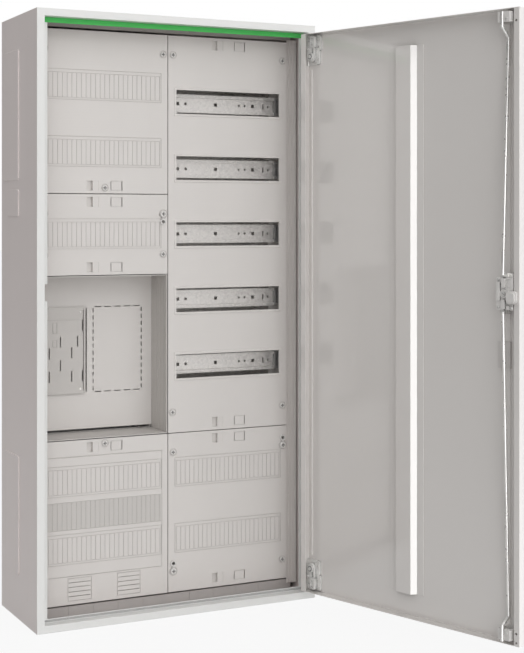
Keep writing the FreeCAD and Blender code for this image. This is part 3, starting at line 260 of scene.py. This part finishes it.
def moulded_plastic(name, colour, roughness, flutes=0.0, corner_shade=0.40, reach=0.005):
    """Moulded plastic: fine eroded grain, flow clouding, painted shade in corners and lighter
    stressed edges.
    """
    g = Graph(name)
    flow = g.span(g.noise(9.0, 3.0, (1.0, 1.0, 0.35)), *CLOUD)
    base = g.blend(flow, scaled(colour, 0.98), scaled(colour, 1.015))
    # Painted shade: darker in corners and recesses, by the given share.
    base = g.blend(g.math("MULTIPLY", g.hollows(reach), corner_shade), base, scaled(colour, 0.9 - corner_shade))
    pale = g.math("MULTIPLY", g.edges(0.0008), 0.35)
    base = g.blend(pale, base, scaled(colour, 1.14))
    shine = g.span(g.noise(40.0, 3.0), *CLOUD, roughness - 0.05, roughness + 0.05)
    grain = g.noise(1800.0, 2.0)
    if flutes:
        wave = g.add("ShaderNodeTexWave", bands_direction="Z")
        g.wire(g.place, wave.inputs["Vector"])
        wave.inputs["Scale"].default_value = 60.0
        grain = g.math("ADD", grain, g.math("MULTIPLY", wave.outputs["Fac"], flutes))
    g.bump(grain, 0.12, 0.0003)
    return g.finish(base, shine)


def galvanised(name, colour):
    """Zinc-dipped sheet with spangle, dull patches and fine rolling lines."""
    g = Graph(name)
    spangle = g.cells(240.0)
    fine = g.cells(620.0)
    base = g.blend(spangle, scaled(colour, 0.84), scaled(colour, 1.06))
    base = g.blend(g.math("MULTIPLY", fine, 0.35), base, scaled(colour, 0.85))
    dull = g.span(g.noise(22.0, 4.0), 0.45, 0.7)
    base = g.blend(g.math("MULTIPLY", dull, 0.35), base, scaled(colour, 0.95))
    base = g.blend(g.math("MULTIPLY", g.edges(0.0006), 0.5), base, scaled(colour, 1.25))
    shine = g.span(spangle, 0.0, 1.0, 0.30, 0.52)
    rolling = g.noise(260.0, 3.0, (0.06, 1.0, 1.0))
    g.bump(g.math("ADD", rolling, g.math("MULTIPLY", spangle, 0.4)), 0.15, 0.0003)
    return g.finish(base, shine, 0.45)


def turned_steel(name, colour, shade_and_wear=0.6):
    """Bright zinc-plated steel with fine drawn scratches, painted shade in recesses and lighter
    edges.
    """
    g = Graph(name)
    drawn = g.noise(300.0, 4.0, (1.0, 1.0, 0.05))
    base = g.blend(g.span(drawn, 0.35, 0.65), scaled(colour, 0.80), scaled(colour, 1.10))
    # Painted shade in recesses and lighter worn edges, left out when the share is zero.
    if shade_and_wear:
        base = g.blend(g.math("MULTIPLY", g.hollows(0.004), shade_and_wear), base, scaled(colour, 0.35))
        base = g.blend(g.math("MULTIPLY", g.edges(0.0005), 0.5), base, scaled(colour, 1.30))
    shine = g.span(g.noise(90.0, 4.0), *CLOUD, 0.24, 0.42)
    g.bump(drawn, 0.10, 0.0002)
    return g.finish(base, shine, 0.65)


def cast_zinc(name, colour):
    """Die-cast zinc: pale and dull, cloudy from casting, with painted shade in joints and
    corners, and bright edges.
    """
    g = Graph(name)
    clouds = g.span(g.noise(160.0, 4.0), 0.35, 0.65)
    base = g.blend(clouds, scaled(colour, 0.90), scaled(colour, 1.05))
    # Painted shade: much darker in joints and corners.
    base = g.blend(g.math("MULTIPLY", g.hollows(0.006), 0.95), base, scaled(colour, 0.16))
    base = g.blend(g.math("MULTIPLY", g.edges(0.0007), 0.8), base, scaled(colour, 1.25))
    shine = g.span(g.noise(70.0, 3.0), *CLOUD, 0.34, 0.50)
    g.bump(g.noise(900.0, 3.0), 0.12, 0.0003)
    return g.finish(base, shine, 0.12)


def brass(name, colour):
    """Rolled brass bar with tarnish in patches."""
    g = Graph(name)
    rolled = g.noise(320.0, 4.0, (0.04, 1.0, 1.0))
    base = g.blend(g.span(rolled, 0.35, 0.65), scaled(colour, 0.82), scaled(colour, 1.12))
    tarnish = g.span(g.noise(55.0, 5.0), 0.52, 0.72)
    base = g.blend(g.math("MULTIPLY", tarnish, 0.5), base, (0.30, 0.19, 0.08))
    shine = g.span(tarnish, 0.0, 1.0, 0.26, 0.50)
    g.bump(rolled, 0.10, 0.0002)
    return g.finish(base, shine, 1.0)


def foam_rubber(name, colour):
    """Poured foam bead with open pores and a dull skin."""
    g = Graph(name)
    pores = g.span(g.cells(1300.0), 0.0, 0.35)
    base = g.blend(pores, scaled(colour, 0.55), colour)
    base = g.blend(g.span(g.noise(30.0, 3.0), *CLOUD), scaled(colour, 0.9), base)
    g.bump(g.math("ADD", pores, g.noise(500.0, 3.0)), 0.45, 0.0005)
    return g.finish(base, g.span(pores, 0.0, 1.0, 0.92, 0.80))


MATERIALS = {
    "white_paint": powder_paint("finish_white_paint", WHITE_PAINT, 0.36),
    "casing_paint": powder_paint("finish_casing_paint", CASING_PAINT, 0.42),
    "door_paint": gloss_paint("finish_door_paint", DOOR_PAINT, 0.15),
    "galvanised": galvanised("finish_galvanised", ZINC),
    "cover_plastic": moulded_plastic("finish_cover_plastic", COVER_PLASTIC, 0.48, flutes=0.3),
    "strip_plastic": moulded_plastic("finish_strip_plastic", STRIP_PLASTIC, 0.46),
    "green_plastic": moulded_plastic("finish_green_plastic", GREEN_PLASTIC, 0.40),
    "dark_plastic": moulded_plastic("finish_dark_plastic", DARK_PLASTIC, 0.42),
    "light_plastic": moulded_plastic("finish_light_plastic", LIGHT_PLASTIC, 0.40),
    "grey_fitting": moulded_plastic("finish_grey_fitting", GREY_FITTING, 0.45),
    "foam": foam_rubber("finish_foam", FOAM),
    "brass": brass("finish_brass", BRASS),
    "zinc_steel": turned_steel("finish_zinc_steel", STEEL),
}

CASTING = cast_zinc("finish_cast_zinc", CAST_ZINC)
# Painted shade: the cross rails get a darker paint for the shade that falls on them inside the
# casing.
SHADED_RAIL = powder_paint("finish_cross_rail_painted_shade", SHADED_PAINT, 0.45)
BRIGHT_ROD = turned_steel("finish_rod_steel", ROD_STEEL, shade_and_wear=0.0)
# Tub, screws and lock darken their corners and recesses with painted shade, the screws and lock
# strongly.
TUB = moulded_plastic("finish_tub_plastic", TUB_PLASTIC, 0.42, corner_shade=0.2)
SCREW = moulded_plastic("finish_screw_plastic", LIGHT_PLASTIC, 0.38, corner_shade=0.85, reach=0.003)
LOCK = moulded_plastic("finish_lock_plastic", LIGHT_PLASTIC, 0.40, corner_shade=0.85, reach=0.007)

# CAD nodes whose finish is not the plain one of their slot.
SPECIAL_FINISHES = {
    "hinge_bodies": CASTING,
    "hinge_door_leaves": CASTING,
    "top_cross_rail": SHADED_RAIL,
    "bottom_cross_rail": SHADED_RAIL,
    "upper_lock_rod": BRIGHT_ROD,
    "lower_lock_rod": BRIGHT_ROD,
    "handle_recess_tub": TUB,
    "lock_housing": LOCK,
    "cover_screws": SCREW,
    "middle_left_turn_lock": SCREW,
    "bottom_right_upper_turn_lock": SCREW,
    "bottom_right_lower_turn_lock": SCREW,
    "meter_plate_screws": MATERIALS["galvanised"],
    "side_filler_strips": MATERIALS["cover_plastic"],
}


def dress_nodes():
    """Give every CAD node the finish of its slot, or its own where it has one."""
    for name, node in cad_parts.items():
        for slot in node.material_slots:
            slot.material = SPECIAL_FINISHES.get(name, MATERIALS[slot.material.name])


# ---- surfaces of the CAD nodes -----------------------------------------------------------
MERGE_DISTANCE = 0.00001
FLAT_ANGLE = math.radians(1)
SHARP_ANGLE = math.radians(35)
ROUND_STEPS = 2
ONLY_THE_WIDEST_FACE = 100


def weld_node(name):
    """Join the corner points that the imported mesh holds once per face."""
    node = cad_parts[name]
    weld = node.modifiers.new("weld", "WELD")
    weld.merge_threshold = MERGE_DISTANCE
    return node


def soften_node(name, width):
    """Round the sharp edges of a CAD node without touching its own mesh."""
    node = weld_node(name)
    flat = node.modifiers.new("flat", "DECIMATE")
    flat.decimate_type = "DISSOLVE"
    flat.angle_limit = FLAT_ANGLE
    round_edge = node.modifiers.new("round", "BEVEL")
    round_edge.width = width
    round_edge.segments = ROUND_STEPS
    round_edge.limit_method = "ANGLE"
    round_edge.angle_limit = SHARP_ANGLE
    round_edge.harden_normals = True


def even_node(name):
    """Keep the wide faces of a rounded CAD node flat in their reflections."""
    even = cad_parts[name].modifiers.new("even", "WEIGHTED_NORMAL")
    even.weight = ONLY_THE_WIDEST_FACE


def smooth_group():
    """Node group that shades round surfaces smoothly and keeps the sharp edges."""
    group = bpy.data.node_groups.new("smooth_rounds", "GeometryNodeTree")
    group.interface.new_socket("Geometry", in_out="INPUT", socket_type="NodeSocketGeometry")
    group.interface.new_socket("Geometry", in_out="OUTPUT", socket_type="NodeSocketGeometry")
    start = group.nodes.new("NodeGroupInput")
    faces = group.nodes.new("GeometryNodeSetShadeSmooth")
    edges = group.nodes.new("GeometryNodeSetShadeSmooth")
    edges.domain = "EDGE"
    angle = group.nodes.new("GeometryNodeInputMeshEdgeAngle")
    flat_enough = group.nodes.new("FunctionNodeCompare")
    flat_enough.operation = "LESS_THAN"
    flat_enough.inputs["B"].default_value = SHARP_ANGLE
    end = group.nodes.new("NodeGroupOutput")
    group.links.new(start.outputs[0], faces.inputs["Geometry"])
    group.links.new(faces.outputs[0], edges.inputs["Geometry"])
    group.links.new(angle.outputs["Unsigned Angle"], flat_enough.inputs["A"])
    group.links.new(flat_enough.outputs[0], edges.inputs["Shade Smooth"])
    group.links.new(edges.outputs[0], end.inputs[0])
    return group


def smooth_node(name, group):
    """Shade the round surfaces of a CAD node smoothly without touching its own mesh."""
    smooth = weld_node(name).modifiers.new("smooth", "NODES")
    smooth.node_group = group


# CAD nodes whose edges are rounded, and how wide in metres.
EDGE_WIDTHS = {
    "front_frame": 0.0006,
    "left_side_panel": 0.0004,
    "right_side_panel": 0.0004,
    "top_left_cover": 0.00025,
    "middle_left_cover": 0.00025,
    "bottom_left_cover": 0.00025,
    "top_right_cover": 0.00025,
    "bottom_right_cover": 0.00025,
    "side_filler_strips": 0.0004,
    "door_panel": 0.0005,
    "door_stiffener": 0.0005,
    "hinge_bodies": 0.0004,
    "lock_housing": 0.0005,
    "lock_cap": 0.0006,
    "rod_guides": 0.0005,
    "door_handle": 0.0008,
    "handle_escutcheon": 0.0005,
}

# Rounded CAD nodes whose wide glossy faces have to stay flat.
EVEN_NODES = ("door_panel", "door_handle", "handle_escutcheon")

# CAD nodes with round surfaces to shade smoothly.
ROUND_NODES = (
    "upper_lock_rod",
    "lower_lock_rod",
    "cover_screws",
    "middle_left_turn_lock",
    "bottom_right_upper_turn_lock",
    "bottom_right_lower_turn_lock",
    "hinge_pins",
    "hinge_frame_brackets",
    "hinge_door_leaves",
    "terminal_screws",
    "earth_stud",
)


def finish_surfaces():
    """Give the CAD nodes their materials, rounded edges and smooth rounds."""
    dress_nodes()
    for name, width in EDGE_WIDTHS.items():
        soften_node(name, width)
    for name in EVEN_NODES:
        even_node(name)
    group = smooth_group()
    for name in ROUND_NODES:
        smooth_node(name, group)


# ---- the poured foam seal (metres) -----------------------------------------------------------
BEAD_HALF_WIDTH = 0.0020
BEAD_STEP = 0.006
BEAD_SIDES = 10
BEAD_SWELL = 0.10
BEAD_WAVES_PER_METRE = 60
# Below one, the section is fuller than a half circle.
BEAD_FULLNESS = 0.7
LATCH_CLEARANCE = 0.005
# A corner is never mitred to more than twice the bead's width.
LEAST_MITRE = 0.5


def new_piece(name, mesh, body, slot):
    """Object made of a mesh, with the finish of its slot, that rides on a body."""
    piece = bpy.data.objects.new(name, mesh)
    bpy.context.scene.collection.objects.link(piece)
    mesh.materials.append(MATERIALS[slot])
    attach(piece, body)
    return piece


def path_points(corners):
    """Evenly spaced points along a path in the XZ plane."""
    points = []
    for first, second in zip(corners, corners[1:]):
        start = Vector(first)
        end = Vector(second)
        steps = max(1, int((end - start).length / BEAD_STEP))
        for step in range(steps):
            points.append(start.lerp(end, step / steps))
    points.append(Vector(corners[-1]))
    return points


def stations(corners):
    """Points along a path, each with its mitred sideways direction."""
    points = path_points(corners)
    result = []
    for index, point in enumerate(points):
        before = (point - points[max(index - 1, 0)]).normalized()
        after = (points[min(index + 1, len(points) - 1)] - point).normalized()
        along = (before + after).normalized()
        side = Vector((-along.y, along.x))
        leg = after if after.length else before
        reach = side.dot(Vector((-leg.y, leg.x)))
        result.append((point, side / max(reach, LEAST_MITRE)))
    return result


def bead_section(bm, point, side, height, back):
    """Points round the bead at one station, from one foot over the crown to the other."""
    waves = Vector((point.x * BEAD_WAVES_PER_METRE, point.y * BEAD_WAVES_PER_METRE, 0.0))
    swell = 1.0 + BEAD_SWELL * noise.noise(waves)
    section = []
    for step in range(BEAD_SIDES + 1):
        angle = math.pi * step / BEAD_SIDES
        place = point + side * (-math.cos(angle) * BEAD_HALF_WIDTH)
        on_foot = step in (0, BEAD_SIDES)
        rise = 0.0 if on_foot else math.sin(angle) ** BEAD_FULLNESS * height * swell
        section.append(bm.verts.new((place.x, back - rise, place.y)))
    return section


def bead_run(bm, corners, height, back):
    """Closed bead along a path; its flat side lies on the plane y = back."""
    rings = [bead_section(bm, point, side, height, back) for point, side in stations(corners)]
    for first, second in zip(rings, rings[1:]):
        for step in range(BEAD_SIDES):
            bm.faces.new((first[step], first[step + 1], second[step + 1], second[step]))
        bm.faces.new((first[-1], first[0], second[0], second[-1]))
    bm.faces.new(rings[0])
    bm.faces.new(tuple(reversed(rings[-1])))


def foam_seal():
    """Poured foam bead on three sides of the lip, left open where the latch enters."""
    low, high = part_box("door_seal")
    latch_low, latch_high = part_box("lock_cap")
    left = low.x + BEAD_HALF_WIDTH
    right = high.x - BEAD_HALF_WIDTH
    bottom = low.z + BEAD_HALF_WIDTH
    height = high.y - low.y
    upper = [(left, high.z), (left, latch_high.z + LATCH_CLEARANCE)]
    lower = [
        (left, latch_low.z - LATCH_CLEARANCE),
        (left, bottom),
        (right, bottom),
        (right, high.z),
    ]
    bm = bmesh.new()
    bead_run(bm, upper, height, high.y)
    bead_run(bm, lower, height, high.y)
    bmesh.ops.recalc_face_normals(bm, faces=bm.faces)
    mesh = bpy.data.meshes.new("foam_seal")
    bm.to_mesh(mesh)
    bm.free()
    for face in mesh.polygons:
        face.use_smooth = len(face.vertices) == 4
    piece = new_piece("foam_seal", mesh, "cabinet", "foam")
    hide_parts("door_seal")


# ---- studio -----------------------------------------------------------------------------
DOME_LEVEL = 0.13
# Soft lamps in the dome: direction, outer and inner half angle in degrees, strength.
LAMPS = (
    ((0.0, 0.0, 1.0), 85, 30, 0.96),
    ((0.0, -1.0, 0.0), 60, 20, 1.78),
    ((-0.24, -0.97, -0.11), 14, 12, 4.6),
    ((0.92, -0.38, 0.0), 30, 15, 2.2),
    ((0.0, 0.0, -1.0), 92, 70, 0.75),
)
# What the camera sees behind the cabinet.
BACKDROP_WHITE = (1.0, 1.0, 1.0, 1.0)


def lamp_glow(tree, direction, towards, outer, inner, strength):
    """Light of one soft lamp of the dome in a given direction."""
    facing = tree.nodes.new("ShaderNodeVectorMath")
    facing.operation = "DOT_PRODUCT"
    facing.inputs[1].default_value = Vector(towards).normalized()
    tree.links.new(direction, facing.inputs[0])
    glow = tree.nodes.new("ShaderNodeMapRange")
    glow.interpolation_type = "SMOOTHSTEP"
    glow.inputs["From Min"].default_value = math.cos(math.radians(outer))
    glow.inputs["From Max"].default_value = math.cos(math.radians(inner))
    glow.inputs["To Max"].default_value = strength
    tree.links.new(facing.outputs["Value"], glow.inputs["Value"])
    return glow.outputs["Result"]


def dome_light(tree):
    """Even light of the dome with all its lamps added."""
    direction = tree.nodes.new("ShaderNodeTexCoord").outputs["Generated"]
    level = tree.nodes.new("ShaderNodeValue").outputs[0]
    level.default_value = DOME_LEVEL
    for lamp in LAMPS:
        total = tree.nodes.new("ShaderNodeMath")
        total.operation = "ADD"
        tree.links.new(level, total.inputs[0])
        tree.links.new(lamp_glow(tree, direction, *lamp), total.inputs[1])
        level = total.outputs[0]
    return level


def studio_light():
    """Dome with soft lamps for the light, and a plain white backdrop for the camera."""
    world = bpy.data.worlds.new("studio")
    bpy.context.scene.world = world
    world.use_nodes = True
    tree = world.node_tree
    tree.nodes.clear()
    dome = tree.nodes.new("ShaderNodeBackground")
    tree.links.new(dome_light(tree), dome.inputs["Strength"])
    white = tree.nodes.new("ShaderNodeBackground")
    white.inputs["Color"].default_value = BACKDROP_WHITE
    white.inputs["Strength"].default_value = 1.0
    seen = tree.nodes.new("ShaderNodeLightPath")
    choose = tree.nodes.new("ShaderNodeMixShader")
    tree.links.new(seen.outputs["Is Camera Ray"], choose.inputs["Fac"])
    tree.links.new(dome.outputs["Background"], choose.inputs[1])
    tree.links.new(white.outputs["Background"], choose.inputs[2])
    out = tree.nodes.new("ShaderNodeOutputWorld")
    tree.links.new(choose.outputs["Shader"], out.inputs["Surface"])


FLOOR_GAP = 0.0005
FLOOR_REACH = 30.0
FLOOR_LEVEL = 0.6
# Share of plain white in what the camera sees of the floor.
FLOOR_GLOW = 0.9


def floor_finish():
    """Faintly clouded pale floor that melts into the backdrop for the camera."""
    g = Graph("pale_floor")
    pale = (FLOOR_LEVEL, FLOOR_LEVEL, FLOOR_LEVEL)
    base = g.blend(g.span(g.noise(2.0), *CLOUD), scaled(pale, 0.98), pale)
    material = g.finish(base, 0.9)
    glow = g.add("ShaderNodeEmission")
    glow.inputs["Strength"].default_value = 1.0
    seen = g.add("ShaderNodeLightPath")
    amount = g.math("MULTIPLY", seen.outputs["Is Camera Ray"], FLOOR_GLOW)
    choose = g.add("ShaderNodeMixShader")
    g.wire(amount, choose.inputs["Fac"])
    g.wire(g.shader.outputs["BSDF"], choose.inputs[1])
    g.wire(glow.outputs["Emission"], choose.inputs[2])
    g.wire(choose.outputs["Shader"], g.tree.nodes["Material Output"].inputs["Surface"])
    return material


def floor():
    """Wide floor just under the cabinet, which shows in no reflection."""
    level = CAD_BOX[0].z - FLOOR_GAP
    corners = [
        (-FLOOR_REACH, -FLOOR_REACH, level),
        (FLOOR_REACH, -FLOOR_REACH, level),
        (FLOOR_REACH, FLOOR_REACH, level),
        (-FLOOR_REACH, FLOOR_REACH, level),
    ]
    mesh = bpy.data.meshes.new("floor")
    mesh.from_pydata(corners, [], [(0, 1, 2, 3)])
    mesh.materials.append(floor_finish())
    plane = bpy.data.objects.new("floor", mesh)
    plane.visible_glossy = False
    bpy.context.scene.collection.objects.link(plane)


# The photograph's viewpoint, found by fitting one camera to edges of known size.
VIEW_PLACE = (-1.03525, -2.72036, 0.18144)
VIEW_TURN = math.radians(-27.39)
LEVEL_VIEW = math.radians(90)
SENSOR_WIDTH_MM = 36.0
LENS_MM = 80.7254
VIEW_SHIFT = (-0.068936, -0.166919)


def camera():
    """Level camera at the photograph's angle; the shift frames it as the photograph does."""
    data = bpy.data.cameras.new("camera")
    data.sensor_width = SENSOR_WIDTH_MM
    data.lens = LENS_MM
    data.shift_x, data.shift_y = VIEW_SHIFT
    view = bpy.data.objects.new("camera", data)
    view.location = VIEW_PLACE
    view.rotation_euler = (LEVEL_VIEW, 0.0, VIEW_TURN)
    bpy.context.scene.collection.objects.link(view)
    bpy.context.scene.camera = view


finish_surfaces()
foam_seal()
studio_light()
floor()
camera()
bpy.context.scene.view_settings.view_transform = "Standard"
